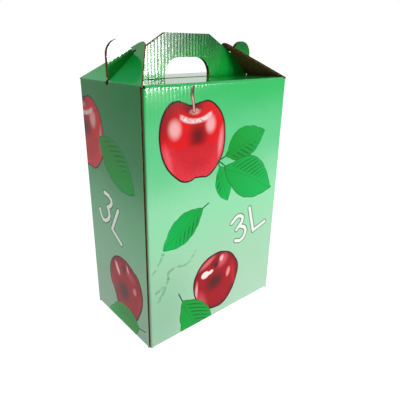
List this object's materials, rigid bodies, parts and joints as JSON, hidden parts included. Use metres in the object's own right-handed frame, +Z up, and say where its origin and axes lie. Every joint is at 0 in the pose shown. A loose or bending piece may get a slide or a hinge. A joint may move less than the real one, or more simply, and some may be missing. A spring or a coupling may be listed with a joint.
{
  "type": "bag in box carton",
  "caption": "Upright printed micro-flute carton for a liquid bag, with an upright double-ply carrying handle, eared and locked by slotted side flaps, and a glued crash-lock base.",
  "frame": {"origin": "middle of the base, on the floor", "axes": "+Z up through the handle, -Y out of the front panel, +X to the right along the front"},
  "size_m": [0.16, 0.097, 0.2643],
  "materials": {
    "printed_board": "gloss varnish over green print on micro-flute board",
    "kraft_board": "bare brown kraft paper, matt and fibrous"
  },
  "bodies": {
    "carton": {"carton": "printed_board"},
    "left_lock_flap": {"left_lock_flap": "printed_board"},
    "right_lock_flap": {"right_lock_flap": "printed_board"}
  },
  "joints": [
    {"name": "left_lock_hinge", "type": "hinge", "parent": "carton", "child": "left_lock_flap", "pos_m": [-0.0792, 0, 0.2272], "axis": [0, -1, 0], "range_deg": [0, 139]},
    {"name": "right_lock_hinge", "type": "hinge", "parent": "carton", "child": "right_lock_flap", "pos_m": [0.0792, 0, 0.2272], "axis": [0, 1, 0], "range_deg": [0, 139]}
  ]
}
